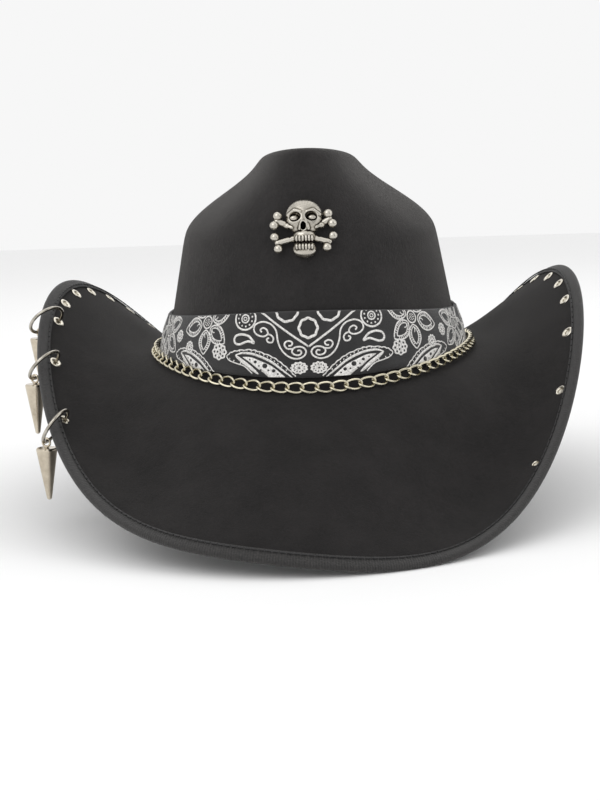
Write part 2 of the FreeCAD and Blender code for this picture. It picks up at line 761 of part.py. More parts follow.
def make_pieces():
    pieces = {}
    pieces["crown"] = make_crown()
    pieces["brim"] = make_brim()
    pieces["brim_hem"] = make_hem()
    pieces["brim_wire"] = make_wire()
    pieces["hem_stitching"] = make_hem_stitching()
    pieces["sweatband"] = make_sweatband()
    pieces["sweatband_stitching"] = make_sweatband_stitching()
    pieces["bandana_band"] = make_bandana()
    pieces["bandana_lap"] = make_bandana_lap()
    pieces["chain_links"], pieces["chain_closing_link"] = make_chain()
    pieces["skull_badge"] = make_badge()
    pieces["badge_screw"] = make_badge_screw()
    groups = (("eyelets_spiked_side", LEFT_EYELETS), ("eyelets_plain_side", RIGHT_EYELETS),
              ("ring_eyelets", RING_ANGLES))
    for name, angles in groups:
        pieces[name] = Part.makeCompound([make_eyelet(a) for a in angles])
    pieces["eyelet_washers"] = Part.makeCompound([make_eyelet_washer(a) for a in ALL_EYELETS])
    for number, angle in enumerate(RING_ANGLES, start=1):
        pieces["ring_%d" % number] = make_ring(angle)
        pieces["spike_eye_%d" % number] = make_spike_eye(angle)
        pieces["spike_%d" % number] = make_spike(angle)
    return pieces


def write(pieces):
    """Moves the hat so that the middle of its box on the ground is the origin, and saves it."""
    binding = pieces["brim_hem"].optimalBoundingBox(False, False)
    left = min(pieces["spike_%d" % n].BoundBox.XMin for n in (1, 2, 3))
    lift = Vector(-(left + binding.XMax) / 2, -(binding.YMin + binding.YMax) / 2, -binding.ZMin)
    os.makedirs("parts", exist_ok=True)
    for name, shape in pieces.items():
        placed = shape.copy()
        placed.translate(lift)
        placed.exportStep("parts/%s.step" % name)
        box = placed.BoundBox
        print("%-22s solids %2d valid %s volume %.1f box %.1f %.1f %.1f to %.1f %.1f %.1f" % (
            name, len(placed.Solids), placed.isValid(), placed.Volume,
            box.XMin, box.YMin, box.ZMin, box.XMax, box.YMax, box.ZMax))
    for number, angle in enumerate(RING_ANGLES, start=1):
        hole, normal, axis, centre, radius = ring_layout(angle)
        seat, wire, middle = spike_hang(angle)
        print("ring_%d hinge %s axis %s spike hinge %s axis %s" % (
            number, hole + lift, normal, seat + lift, wire))
    print("moved %.3f %.3f %.3f eyelets %d" % (lift.x, lift.y, lift.z, len(ALL_EYELETS)))


write(make_pieces())
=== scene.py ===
import math

import bmesh
import bpy
import numpy as np
from mathutils import Matrix, Vector


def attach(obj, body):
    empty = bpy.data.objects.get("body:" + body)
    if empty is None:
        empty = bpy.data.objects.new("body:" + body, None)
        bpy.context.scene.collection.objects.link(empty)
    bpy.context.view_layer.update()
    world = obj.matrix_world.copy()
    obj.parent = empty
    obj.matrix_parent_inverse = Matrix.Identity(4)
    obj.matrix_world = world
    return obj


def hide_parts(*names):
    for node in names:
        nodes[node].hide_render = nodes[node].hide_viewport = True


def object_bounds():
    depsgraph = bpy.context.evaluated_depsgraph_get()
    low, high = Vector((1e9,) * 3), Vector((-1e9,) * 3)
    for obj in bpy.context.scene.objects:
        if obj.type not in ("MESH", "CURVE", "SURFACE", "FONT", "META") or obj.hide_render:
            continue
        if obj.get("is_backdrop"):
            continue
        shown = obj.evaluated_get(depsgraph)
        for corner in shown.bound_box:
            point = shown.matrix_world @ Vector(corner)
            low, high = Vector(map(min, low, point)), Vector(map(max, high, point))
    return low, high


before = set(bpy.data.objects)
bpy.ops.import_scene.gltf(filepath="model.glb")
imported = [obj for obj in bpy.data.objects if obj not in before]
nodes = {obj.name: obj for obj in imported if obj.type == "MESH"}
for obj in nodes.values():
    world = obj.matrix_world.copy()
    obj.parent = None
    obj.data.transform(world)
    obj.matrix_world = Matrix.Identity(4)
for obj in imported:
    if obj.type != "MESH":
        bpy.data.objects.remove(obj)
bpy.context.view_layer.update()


# ---- Crown ----
# The crown is one hollow moulding of wool felt, pressed over a block and brushed to a short nap.
# Felt is matt with a faint pale bloom at grazing angles, where the loose fibre ends catch the light.

def hex_colour(code):
    """The linear colour of an sRGB hex value."""
    parts = [int(code[i:i + 2], 16) / 255 for i in (1, 3, 5)]
    return [p / 12.92 if p <= 0.04045 else ((p + 0.055) / 1.055) ** 2.4 for p in parts] + [1.0]


def per_mm(size):
    """Scale of a pattern on coordinates in metres that repeats at this many millimetres."""
    return 1000.0 / size


def new_material(name):
    material = bpy.data.materials.new(name)
    material.use_nodes = True
    return material, material.node_tree, material.node_tree.nodes["Principled BSDF"]


def add(tree, kind, inputs=None, **settings):
    """Adds a node, with its settings, and its inputs as values or as links from outputs."""
    made = tree.nodes.new(kind)
    for name, value in settings.items():
        setattr(made, name, value)
    for name, value in (inputs or {}).items():
        if isinstance(value, bpy.types.NodeSocket):
            tree.links.new(value, made.inputs[name])
        else:
            made.inputs[name].default_value = value
    return made


def finish_shader(tree, shader, colour=None, roughness=None, height=None, depth=0.0002):
    """Links a colour, a roughness and a relief of this depth in metres to the shader."""
    if colour:
        tree.links.new(colour, shader.inputs["Base Color"])
    if roughness:
        tree.links.new(roughness, shader.inputs["Roughness"])
    if height:
        bump = add(tree, "ShaderNodeBump", {"Strength": 1.0, "Distance": depth, "Height": height})
        tree.links.new(bump.outputs["Normal"], shader.inputs["Normal"])


def ramp(tree, value, stops):
    """A colour ramp on a value, from (position, hex colour) pairs."""
    made = add(tree, "ShaderNodeValToRGB", {"Fac": value})
    points = made.color_ramp.elements
    while len(points) < len(stops):
        points.new(0.5)
    for point, (position, code) in zip(points, stops):
        point.position = position
        point.color = hex_colour(code)
    return made.outputs["Color"]


def blend_values(tree, a, b, share):
    made = add(tree, "ShaderNodeMix", {0: share, 2: a, 3: b}, data_type="FLOAT")
    return made.outputs[0]


def brushed_felt(name, dark, light, sheen, nap):
    """Wool felt: cloudy dye, matted fibres and scattered loose hairs, drawn coarse enough to show."""
    material, tree, shader = new_material(name)
    place = add(tree, "ShaderNodeTexCoord").outputs["Object"]
    cloud = add(tree, "ShaderNodeTexNoise",
                {"Vector": place, "Scale": per_mm(26), "Detail": 5.0, "Roughness": 0.62})
    fibre = add(tree, "ShaderNodeTexNoise",
                {"Vector": place, "Scale": per_mm(2.4), "Detail": 5.0, "Roughness": 0.75,
                 "Distortion": 1.2})
    combed = add(tree, "ShaderNodeMapping", {"Vector": place, "Scale": (1.0, 1.0, 0.22)})
    hair = add(tree, "ShaderNodeTexNoise",
               {"Vector": combed.outputs["Vector"], "Scale": per_mm(0.7), "Detail": 2.0,
                "Distortion": 2.0})
    nap_value = blend_values(tree, fibre.outputs["Fac"], hair.outputs["Fac"], 0.45)
    tone = blend_values(tree, cloud.outputs["Fac"], nap_value, 0.6)
    colour = ramp(tree, tone, [(0.38, dark), (0.62, light)])
    rough = add(tree, "ShaderNodeMapRange", {"Value": nap_value, "To Min": 0.86, "To Max": 1.0})
    finish_shader(tree, shader, colour, rough.outputs["Result"], nap_value, nap)
    shader.inputs["Specular IOR Level"].default_value = 0.22
    shader.inputs["Sheen Weight"].default_value = sheen
    shader.inputs["Sheen Roughness"].default_value = 0.42
    shader.inputs["Sheen Tint"].default_value = hex_colour("#d9d6d2")
    return material


def dress(name, material):
    """Gives a CAD node a finish on all its slots."""
    node = nodes[name]
    if not node.material_slots:
        node.data.materials.append(material)
    for place in node.material_slots:
        place.material = material


crown_felt = brushed_felt("brushed wool felt, crown", "#201f1f", "#302e2e", 0.2, 0.0005)
dress("crown", crown_felt)


# ---- Brim ----
# The brim is a second felt moulding, steamed and shaped up at the sides, with a collar that the
# crown sits in. It is the same felt, pressed harder so a little smoother, and its colour is painted
# darker than the crown's as painted shade.

# the brim's darker colours are painted shade on the same felt as the crown
brim_felt = brushed_felt("brushed wool felt, brim", "#171616", "#262424", 0.1, 0.0004)
dress("brim", brim_felt)


# ---- Binding ----
# A ribbed tape is folded over the brim's cut edge with a spring wire inside it, and sewn through.
# The ribs of the tape run across it, almost hidden by its fuzz, which is a little paler than felt.

RIB = 1.25                      # mm from rib to rib, drawn coarser than the real 0.6 mm
EDGE_ROUND = 1180.0             # mm round the brim's edge

ribbed_tape, tree, shader = new_material("woven ribbed tape, polyester")
place = add(tree, "ShaderNodeTexCoord").outputs["Object"]
axes = add(tree, "ShaderNodeSeparateXYZ", {"Vector": place})
turn = add(tree, "ShaderNodeMath", {0: axes.outputs["X"], 1: axes.outputs["Y"]}, operation="ARCTAN2")
phase = add(tree, "ShaderNodeMath", {0: turn.outputs[0], 1: round(EDGE_ROUND / RIB)},
            operation="MULTIPLY")
wave = add(tree, "ShaderNodeMath", {0: phase.outputs[0]}, operation="SINE")
rib = add(tree, "ShaderNodeMapRange", {"Value": wave.outputs[0], "From Min": -1.0})
fuzz = add(tree, "ShaderNodeTexNoise", {"Vector": place, "Scale": per_mm(0.9), "Detail": 4.0})
weave = blend_values(tree, rib.outputs["Result"], fuzz.outputs["Fac"], 0.82)
finish_shader(tree, shader, ramp(tree, weave, [(0.3, "#191818"), (0.75, "#353332")]), None, weave,
              0.0005)
shader.inputs["Roughness"].default_value = 0.82
shader.inputs["Sheen Weight"].default_value = 0.15
dress("brim_hem", ribbed_tape)

# The sewing is a lockstitch in twisted polyester thread, in a shallow groove of its own.
twisted_thread, tree, shader = new_material("twisted polyester thread")
place = add(tree, "ShaderNodeTexCoord").outputs["Object"]
strand = add(tree, "ShaderNodeTexNoise", {"Vector": place, "Scale": per_mm(0.5), "Detail": 2.0})
finish_shader(tree, shader, ramp(tree, strand.outputs["Fac"], [(0.3, "#0c0c0c"), (0.7, "#262525")]),
              None, strand.outputs["Fac"], 0.0002)
shader.inputs["Roughness"].default_value = 0.55
for name in ("hem_stitching", "sweatband_stitching"):
    dress(name, twisted_thread)

spring_wire, tree, shader = new_material("drawn spring steel")
shader.inputs["Base Color"].default_value = hex_colour("#8f8e8c")
shader.inputs["Metallic"].default_value = 1.0
drawn = add(tree, "ShaderNodeTexNoise",
            {"Vector": add(tree, "ShaderNodeTexCoord").outputs["Object"], "Scale": per_mm(0.8)})
finish_shader(tree, shader, None, add(tree, "ShaderNodeMapRange",
              {"Value": drawn.outputs["Fac"], "To Min": 0.25, "To Max": 0.45}).outputs["Result"])
dress("brim_wire", spring_wire)


# ---- Sweatband ----
# A band of thin split leather is sewn inside the crown's opening and lies against the felt.
# Finished leather has a pebbled grain with a dull shine on the tops.

sweat_leather, tree, shader = new_material("split leather, finished")
place = add(tree, "ShaderNodeTexCoord").outputs["Object"]
grain = add(tree, "ShaderNodeTexVoronoi", {"Vector": place, "Scale": per_mm(0.9)},
            feature="F1")
stain = add(tree, "ShaderNodeTexNoise", {"Vector": place, "Scale": per_mm(30), "Detail": 3.0})
finish_shader(tree, shader, ramp(tree, stain.outputs["Fac"], [(0.3, "#171413"), (0.7, "#2a2421")]),
              add(tree, "ShaderNodeMapRange", {"Value": grain.outputs["Distance"], "To Min": 0.42,
                                               "To Max": 0.6}).outputs["Result"],
              grain.outputs["Distance"], 0.0002)
dress("sweatband", sweat_leather)


# ---- Bandana ----
# A printed cotton bandana is folded to a flat strip, drawn round the crown's foot over the brim's
# collar, and lapped at the back. Thin plain-weave cotton is matt, with soft creases along the folds.

SIDEWAYS = 3.717                # mm from the middle of the whole hat across to the crown's middle
FORWARD = 8.044                 # mm from the crown's middle back to the middle of the whole hat
LIFT = 82.575                   # mm from the ground up to the break beside the ears
BASE_HALF_WIDTH = 84.5
BASE_HALF_LENGTH = 103.5
SHOULDER_HEIGHT = 66.0
SHOULDER_HALF_WIDTH = 72.0
SHOULDER_FRONT = 90.0
SHOULDER_BACK = 91.0
BREAK_DIP = 8.0
BAND_THICKNESS = 2.0
BAND_STAND = 2.4                # off the crown, at the collar
LAP_THICKNESS = 1.0
LAP_HALF_LENGTH = 16.8


def mixed(a, b, share):
    return a + (b - a) * share


def band_edges(angle):
    """Lower and upper edge of the band over the break, at an angle round from the front."""
    ends = math.cos(angle) ** 2
    return mixed(1.15, -3.6, ends), mixed(23.2, 30.2, ends)


def band_point(angle, level, proud):
    """A point this far off the strip's outer face, in metres."""
    low, high = band_edges(angle)
    share = (level - low) / (high - low)
    dip = -BREAK_DIP * math.cos(angle) ** 2
    tall = (level - dip) / (1 - dip / SHOULDER_HEIGHT)
    up = tall / SHOULDER_HEIGHT
    rise = dip * (1 - max(up, 0.0)) + tall
    stand = mixed(BAND_STAND, 0.5, min(max(share - 0.45, 0.0) / 0.55, 1.0) ** 1.3)
    crease = 0.22 * math.sin(angle * 23 + level * 0.21) * math.sin(level * 0.37 + angle * 7)
    off = stand + BAND_THICKNESS + crease + proud
    length = SHOULDER_FRONT if math.cos(angle) >= 0 else SHOULDER_BACK
    wide = mixed(BASE_HALF_WIDTH, SHOULDER_HALF_WIDTH, up) + off
    long = mixed(BASE_HALF_LENGTH, length, up) + off
    return Vector((SIDEWAYS + wide * math.sin(angle), FORWARD - long * math.cos(angle),
                   LIFT + rise)) / 1000


def show_only(made):
    """Leaves one new object selected and active, as the next operator needs."""
    bpy.ops.object.select_all(action="DESELECT")
    made.select_set(True)
    bpy.context.view_layer.objects.active = made


def named(made, name, material, smooth=True):
    """Names a new piece and its mesh, gives it its finish, and smooths its facets."""
    made.name = name
    made.data.name = name
    made.data.materials.clear()
    made.data.materials.append(material)
    show_only(made)
    if smooth:
        bpy.ops.object.shade_smooth()
    return made


def section_of(low, high, thickness, count):
    """A rounded strip's closed section as (height, distance under the outer face) pairs."""
    half = thickness / 2
    points = []
    for k in range(count):
        turn = 2 * math.pi * k / count
        across, upward = math.cos(turn), math.sin(turn)
        squared = 1.0 / max(abs(across), abs(upward), 1e-6)
        blunt = squared ** 0.86
        points.append((mixed(low, high, (upward * blunt + 1) / 2), half - across * blunt * half))
    return points


AROUND, SECTION = 256, 72
bpy.ops.object.select_all(action="DESELECT")
bpy.ops.mesh.primitive_torus_add(major_segments=AROUND, minor_segments=SECTION, major_radius=0.1,
                                 minor_radius=0.01)
band = bpy.context.object
for i in range(AROUND):
    angle = 2 * math.pi * i / AROUND - math.pi
    low, high = band_edges(angle)
    for j, (level, under) in enumerate(section_of(low, high, BAND_THICKNESS, SECTION)):
        band.data.vertices[i * SECTION + j].co = band_point(angle, level, -under)
show_only(band)
bpy.ops.object.mode_set(mode="EDIT")
bpy.ops.mesh.select_all(action="SELECT")
bpy.ops.mesh.normals_make_consistent(inside=False)
bpy.ops.object.mode_set(mode="OBJECT")

# Black cotton: plain weave of fine threads, drawn at 0.6 mm so that the crossings show.
THREAD = 0.6
cotton, tree, shader = new_material("plain-weave cotton, dyed black")
place = add(tree, "ShaderNodeTexCoord").outputs["Object"]
axes = add(tree, "ShaderNodeSeparateXYZ", {"Vector": place})
turn = add(tree, "ShaderNodeMath", {0: axes.outputs["X"], 1: axes.outputs["Y"]}, operation="ARCTAN2")
warp = add(tree, "ShaderNodeMath", {0: add(tree, "ShaderNodeMath", {0: turn.outputs[0], 1: 960.0},
           operation="MULTIPLY").outputs[0]}, operation="SINE")
weft = add(tree, "ShaderNodeMath", {0: add(tree, "ShaderNodeMath",
           {0: axes.outputs["Z"], 1: 2 * math.pi * per_mm(THREAD)},
           operation="MULTIPLY").outputs[0]}, operation="SINE")
cross = add(tree, "ShaderNodeMath", {0: warp.outputs[0], 1: weft.outputs[0]}, operation="MULTIPLY")
threads = add(tree, "ShaderNodeMapRange", {"Value": cross.outputs[0], "From Min": -1.0})
fade = add(tree, "ShaderNodeTexNoise", {"Vector": place, "Scale": per_mm(9), "Detail": 4.0})
worn = blend_values(tree, threads.outputs["Result"], fade.outputs["Fac"], 0.6)
finish_shader(tree, shader, ramp(tree, worn, [(0.3, "#191919"), (0.75, "#2f2e2f")]), None,
              threads.outputs["Result"], 0.00012)
shader.inputs["Roughness"].default_value = 0.88
shader.inputs["Sheen Weight"].default_value = 0.25
named(band, "bandana_strip", cotton)
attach(band, "hat")
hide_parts("bandana_band")

# The lapped end of the strip is one more layer at the back, tacked down by hand.
bpy.ops.mesh.primitive_grid_add(x_subdivisions=24, y_subdivisions=14, size=1.0)
lap = bpy.context.object
for corner in lap.data.vertices:
    across = corner.co.x * 2 * LAP_HALF_LENGTH
    angle = math.pi + across / BASE_HALF_WIDTH
    low, high = band_edges(angle)
    corner.co = band_point(angle, mixed(low + 0.7, high - 0.7, corner.co.y + 0.5), LAP_THICKNESS)
show_only(lap)
thickness = lap.modifiers.new("cloth", "SOLIDIFY")
thickness.thickness = 0.00092
thickness.offset = 1.0
bpy.ops.object.modifier_apply(modifier="cloth")
rounding = lap.modifiers.new("folded edge", "BEVEL")
rounding.width = 0.0004
rounding.segments = 3
bpy.ops.object.modifier_apply(modifier="folded edge")
bpy.ops.object.mode_set(mode="EDIT")
bpy.ops.mesh.select_all(action="SELECT")
bpy.ops.mesh.normals_make_consistent(inside=False)
bpy.ops.object.mode_set(mode="OBJECT")
named(lap, "bandana_lapped_end", cotton)
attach(lap, "hat")
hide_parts("bandana_lap")

# The print is a white discharge print in the bandana's usual manner: a chevron, scrolls, dotted
# wheels, pointed flowers and leaves, drawn on the flat strip and carried round with the cloth.
# Distances are millimetres: x along the strip from its middle at the front, y over the break.

SWEEP = [math.pi * k / 720 for k in range(721)]
ROUND = [0.0]
for a, b in zip(SWEEP, SWEEP[1:]):
    ROUND.append(ROUND[-1] + 1000 * (band_point(b, 14, 0) - band_point(a, 14, 0)).length)
HALF_ROUND = ROUND[-1]


STRIP_HALF_WIDTH = 88.7         # mm from the hat's middle to the strip's outline, seen from in front


def seen_from_front(x):
    """Distance along the strip of a point this far to one side of the hat's middle."""
    return float(np.interp(math.asin(x / STRIP_HALF_WIDTH), SWEEP, ROUND))


def smooth_line(points, closed=False, steps=5):
    """A flowing line through given points."""
    count = len(points)
    line = []
    for k in range(count if closed else count - 1):
        if closed:
            p = [points[(k + n) % count] for n in (-1, 0, 1, 2)]
        else:
            p = [points[min(max(k + n, 0), count - 1)] for n in (-1, 0, 1, 2)]
        for step in range(steps):
            t = step / steps
            line.append(tuple(
                0.5 * (2 * p[1][i] + (p[2][i] - p[0][i]) * t
                       + (2 * p[0][i] - 5 * p[1][i] + 4 * p[2][i] - p[3][i]) * t * t
                       + (3 * p[1][i] - p[0][i] - 3 * p[2][i] + p[3][i]) * t ** 3)
                for i in (0, 1)))
    if not closed:
        line.append(tuple(points[-1]))
    return line


def ribbon(ink, near, far, closed=False, rows=1):
    """A strip of ink between two lines of equally many points."""
    lines = []
    for row in range(rows + 1):
        share = row / rows
        lines.append([ink.verts.new((mixed(a[0], b[0], share), mixed(a[1], b[1], share), 0))
                      for a, b in zip(near, far)])
    count = len(near)
    for low, high in zip(lines, lines[1:]):
        for k in range(count if closed else count - 1):
            n = (k + 1) % count
            ink.faces.new((low[k], low[n], high[n], high[k]))


def pen(ink, points, width, closed=False, taper=0.0):
    """A line of ink of this width; taper thins it towards its ends."""
    near, far = [], []
    count = len(points)
    for k, (x, y) in enumerate(points):
        before = points[k - 1] if closed or k else points[0]
        after = points[(k + 1) % count] if closed or k + 1 < count else points[-1]
        dx, dy = after[0] - before[0], after[1] - before[1]
        size = math.hypot(dx, dy) or 1.0
        half = width / 2
        if taper:
            half *= 1 - taper * abs(2 * k / (count - 1) - 1) ** 3
        nx, ny = -dy / size * half, dx / size * half
        near.append((x - nx, y - ny))
        far.append((x + nx, y + ny))
    ribbon(ink, near, far, closed)


def wheel(x, y, wide, tall, lobes=0, depth=0.0, count=48):
    return [(x + wide * (1 + depth * math.cos(lobes * t)) * math.cos(t),
             y + tall * (1 + depth * math.cos(lobes * t)) * math.sin(t))
            for t in (2 * math.pi * k / count for k in range(count))]


def blot(ink, x, y, wide, tall, lobes=0, depth=0.0):
    """A filled dot or rosette, in rings so that it bends with the cloth."""
    rings = max(1, round(wide / 1.2))
    count = 48 if lobes else 14
    outlines = [wheel(x, y, wide * r / rings, tall * r / rings, lobes, depth, count)
                for r in range(1, rings + 1)]
    for inner, outer in zip(outlines, outlines[1:]):
        ribbon(ink, inner, outer, closed=True)
    centre = ink.verts.new((x, y, 0))
    first = [ink.verts.new((a, b, 0)) for a, b in outlines[0]]
    for k in range(count):
        ink.faces.new((centre, first[k], first[(k + 1) % count]))


def ring_of_dots(ink, x, y, wide, tall, count, size):
    for px, py in wheel(x, y, wide, tall, count=count):
        blot(ink, px, py, size, size)


def dotted_wheel(ink, x, y):
    pen(ink, wheel(x, y, 6.2, 5.6), 0.95, closed=True)
    ring_of_dots(ink, x, y, 4.3, 3.9, 11, 0.5)
    pen(ink, wheel(x, y, 2.2, 2.0), 0.75, closed=True)
    pen(ink, wheel(x, y, 0.95, 0.85, count=20), 0.5, closed=True)


def leaf_edge(x, y, heading, length, width, steps=22):
    """The two edges of a pointed leaf from its foot to its tip."""
    sides = []
    for side in (-1, 1):
        line = []
        for k in range(steps + 1):
            t = k / steps
            half = side * width / 2 * math.sin(math.pi * t ** 0.85) ** 0.8
            line.append((x + length * t * math.cos(heading) - half * math.sin(heading),
                         y + length * t * math.sin(heading) + half * math.cos(heading)))
        sides.append(line)
    return sides


def petal(ink, x, y, heading, length, width):
    """A pointed petal with a ladder border and a curl inside."""
    heading = math.radians(heading)
    start = 0.24 * length
    fx, fy = x + start * math.cos(heading), y + start * math.sin(heading)
    gx, gy = x + 1.3 * start * math.cos(heading), y + 1.3 * start * math.sin(heading)
    outer = leaf_edge(fx, fy, heading, length - start, width)
    inner = leaf_edge(gx, gy, heading, (length - 1.3 * start) * 0.8, width * 0.58)
    for side in (0, 1):
        pen(ink, outer[side], 0.75)
        pen(ink, inner[side], 0.6)
        for k in range(4, 20, 2):
            a, b = outer[side][k], inner[side][min(round(k * 1.12), 21)]
            pen(ink, [a, b], 0.5)
    curl = []
    for k in range(13):
        turn = k / 12 * 4.4
        far = length * 0.42 - 0.16 * k
        reach = 0.11 * width * (1 - k / 16)
        curl.append((x + (far + reach * math.cos(turn)) * math.cos(heading)
                     - reach * math.sin(turn) * math.sin(heading),
                     y + (far + reach * math.cos(turn)) * math.sin(heading)
                     + reach * math.sin(turn) * math.cos(heading)))
    pen(ink, curl, 0.5)


def flower(ink, x, y):
    for heading, length, width in ((-16, 20, 9.5), (-90, 16.5, 9), (-146, 18, 9), (158, 18, 8.5),
                                   (102, 16, 8), (40, 18, 8.5)):
        petal(ink, x, y, heading, length, width)
    pen(ink, wheel(x, y, 3.4, 3.1), 0.8, closed=True)
    ring_of_dots(ink, x, y, 1.9, 1.6, 9, 0.36)
    ring_of_dots(ink, x, y, 0.8, 0.7, 4, 0.34)


def rosette(ink, dark, x, y, wide, tall, lobes=11):
    blot(ink, x, y, wide, tall, lobes, 0.08)
    ring_of_dots(dark, x, y, wide * 0.62, tall * 0.62, lobes, 0.34)
    blot(dark, x, y, 0.55, 0.45)


def berries(ink, dark, x, y):
    blot(ink, x, y, 4.9, 4.2, 8, 0.07)
    ring_of_dots(dark, x, y, 3.4, 2.9, 8, 0.62)
    ring_of_dots(dark, x, y, 1.4, 1.2, 3, 0.55)


def placed(points, shift=0.0, drop=0.0):
    """Points drawn as they look from the front, laid along the strip."""
    return [(seen_from_front(x) + shift, y - drop) for x, y in points]


def paisley(ink, dark, shift, drop):
    """A long leaf that dips under the strip's lower fold, with a scalloped outline."""
    crest = smooth_line(placed([(44.3, 6.6), (42, 8.6), (38, 9.8), (31, 10.4), (26, 9.4), (19.3, 6.9),
                                (14.6, 3.9), (10.3, 0.3), (7, -3)], shift, drop), steps=8)
    scalloped = []
    for k, (x, y) in enumerate(crest):
        scalloped.append((x, y + 0.42 * abs(math.sin(k * math.pi / 5))))
    pen(ink, scalloped, 0.65)
    ridge = smooth_line(placed([(39.5, 7.6), (35.5, 8.9), (29.8, 8.5), (24.1, 6.7), (19.3, 4.4),
                                (14.6, 1), (8.8, -3.2)], shift, drop))
    pen(ink, ridge, 1.25, taper=0.6)
    for k in range(3, len(ridge) - 2, 2):
        x, y = ridge[k]
        pen(ink, [(x - 0.3, y + 0.9), (x - 0.1, y + 1.75)], 0.5)
    belly = smooth_line(placed([(39.5, 7.6), (35.5, 4.8), (31.2, 1.9), (26.5, -1.6)], shift, drop))
    pen(ink, belly, 1.9, taper=0.75)
    sepal = smooth_line(placed([(44.3, 6.6), (43.4, 5.3), (41.6, 4.3), (38.3, 3.4), (34, 2.1),
                                (29.8, -1.4)], shift, drop))
    pen(ink, sepal, 0.6)
    for k in (7, 12, 17):
        x, y = sepal[k]
        pen(ink, [(x, y), (x - 0.5, y + 1.2)], 0.5)
    upper = smooth_line(placed([(35.4, 6.9), (31, 6.9), (26, 5.2), (19.5, 2.4), (12.4, -3)], shift,
                               drop))
    lower = smooth_line(placed([(35, 6.6), (31, 4.1), (27.2, 1.3), (23.6, -1), (21, -3.2)], shift,
                               drop))
    ribbon(ink, upper, lower, rows=4)
    for x, y, size in ((31.4, 5.7, 0.42), (28.4, 4.6, 0.85), (26.4, 2.6, 0.45), (23.3, 2.7, 1.35),
                       (21.4, 0.4, 0.5), (18.6, 0.2, 0.95), (25.3, 0.6, 0.5), (16.4, -1.4, 0.5)):
        (px, py), = placed([(x, y)], shift, drop)
        blot(dark, px, py, size, size * 0.9)


SCROLL = [(25.5, 19.6), (26.4, 20.8), (24.8, 21.8), (22.7, 20.8), (22.2, 18.7), (24.5, 17.5),
          (27.9, 18.2), (30, 20.4), (29.6, 23), (27.5, 24.4), (24.5, 24.8), (20.5, 23.5),
          (17.6, 20.3), (16.4, 15), (14.2, 10.4), (10.3, 7.1), (6.1, 6.2), (2.6, 7.5), (1.4, 9.7),
          (2.6, 11.6), (5.1, 12.3), (7.7, 11.7), (8.9, 9.9), (7.7, 8.4), (5.1, 8), (3.9, 9.2),
          (4.6, 10.4), (6.1, 10.2)]
UPPER_CURL = [(22.2, 18.7), (20.3, 18.2), (18.9, 16.6), (19.5, 14.7), (21.6, 14.6), (22.6, 16.1),
              (21.3, 16.8)]
LOWER_CURL = [(7.9, 11.4), (11.2, 11.3), (12.9, 13.2), (12.2, 14.8), (10.3, 15.2), (8.7, 14.3),
              (9.3, 12.9), (10.8, 12.8)]
TEAR = [(40.7, 15.6), (39.6, 17.6), (36.5, 18.3), (33, 17.6), (31.2, 16.2), (29.5, 14.1),
        (32.5, 14.9), (35.2, 14.1), (37.5, 13.2), (39.8, 13.6)]

ink, dark = bmesh.new(), bmesh.new()
pen(ink, smooth_line([(0, 12.3), (9, 18.3), (18, 24.4), (27.5, 30.8)]), 1.05)
full_turn = wheel(0, 21.6, 4.8, 4.8, 8, 0.045)
pen(ink, full_turn[-13:] + full_turn[:14], 1.35)
pen(ink, wheel(11.4, 31.1, 6.1, 6.1, 9, 0.03), 1.3, closed=True)
for line in (SCROLL, UPPER_CURL, LOWER_CURL):
    pen(ink, smooth_line(placed(line)), 0.85)
pen(ink, smooth_line(placed(TEAR), closed=True), 1.15, closed=True)
dotted_wheel(ink, 35.4, 26.2)
paisley(ink, dark, 0.0, 0.0)
paisley(ink, dark, 44.5, 1.6)
paisley(ink, dark, 90.0, 0.6)
rosette(ink, dark, 5.0, 1.6, 4.3, 3.0)
berries(ink, dark, 50.5, 8.9)
flower(ink, 62.5, 23.4)
rosette(ink, dark, 75.5, 9.6, 3.4, 3.3)
rosette(ink, dark, 88.0, 14.5, 3.4, 3.3)
flower(ink, 107.0, 16.0)
dotted_wheel(ink, 135.0, 18.0)
berries(ink, dark, 126.0, 10.0)


def carry_round(flat, proud, name, material):
    """Lays a quarter of the pattern round the band four times, mirrored as the cloth repeats."""
    whole = bmesh.new()
    for over_back in (False, True):
        for side in (1, -1):
            made = {}
            for face in flat.faces:
                corners = []
                for corner in face.verts:
                    x = HALF_ROUND - corner.co.x if over_back else corner.co.x
                    angle = side * float(np.interp(x, ROUND, SWEEP))
                    low, high = band_edges(angle)
                    inside = low + 0.35 < corner.co.y < high - 0.35
                    level = min(max(corner.co.y, low + 0.35), high - 0.35)
                    corners.append((corner.index, angle, level, inside))
                if not any(c[3] for c in corners):
                    continue
                for index, angle, level, inside in corners:
                    if index not in made:
                        from_back = (math.pi - abs(angle)) * BASE_HALF_WIDTH
                        on_lap = from_back < LAP_HALF_LENGTH + 0.1
                        made[index] = whole.verts.new(
                            band_point(angle, level, proud + (LAP_THICKNESS if on_lap else 0)))
                loop = [made[c[0]] for c in corners]
                if (side == 1) == over_back:
                    loop.reverse()
                whole.faces.new(loop)
    mesh = bpy.data.meshes.new(name)
    whole.to_mesh(mesh)
    piece = bpy.data.objects.new(name, mesh)
    bpy.context.collection.objects.link(piece)
    named(piece, name, material)
    film = piece.modifiers.new("film", "SOLIDIFY")
    film.thickness = 0.00007
    film.offset = -1.0
    bpy.ops.object.modifier_apply(modifier="film")
    return piece


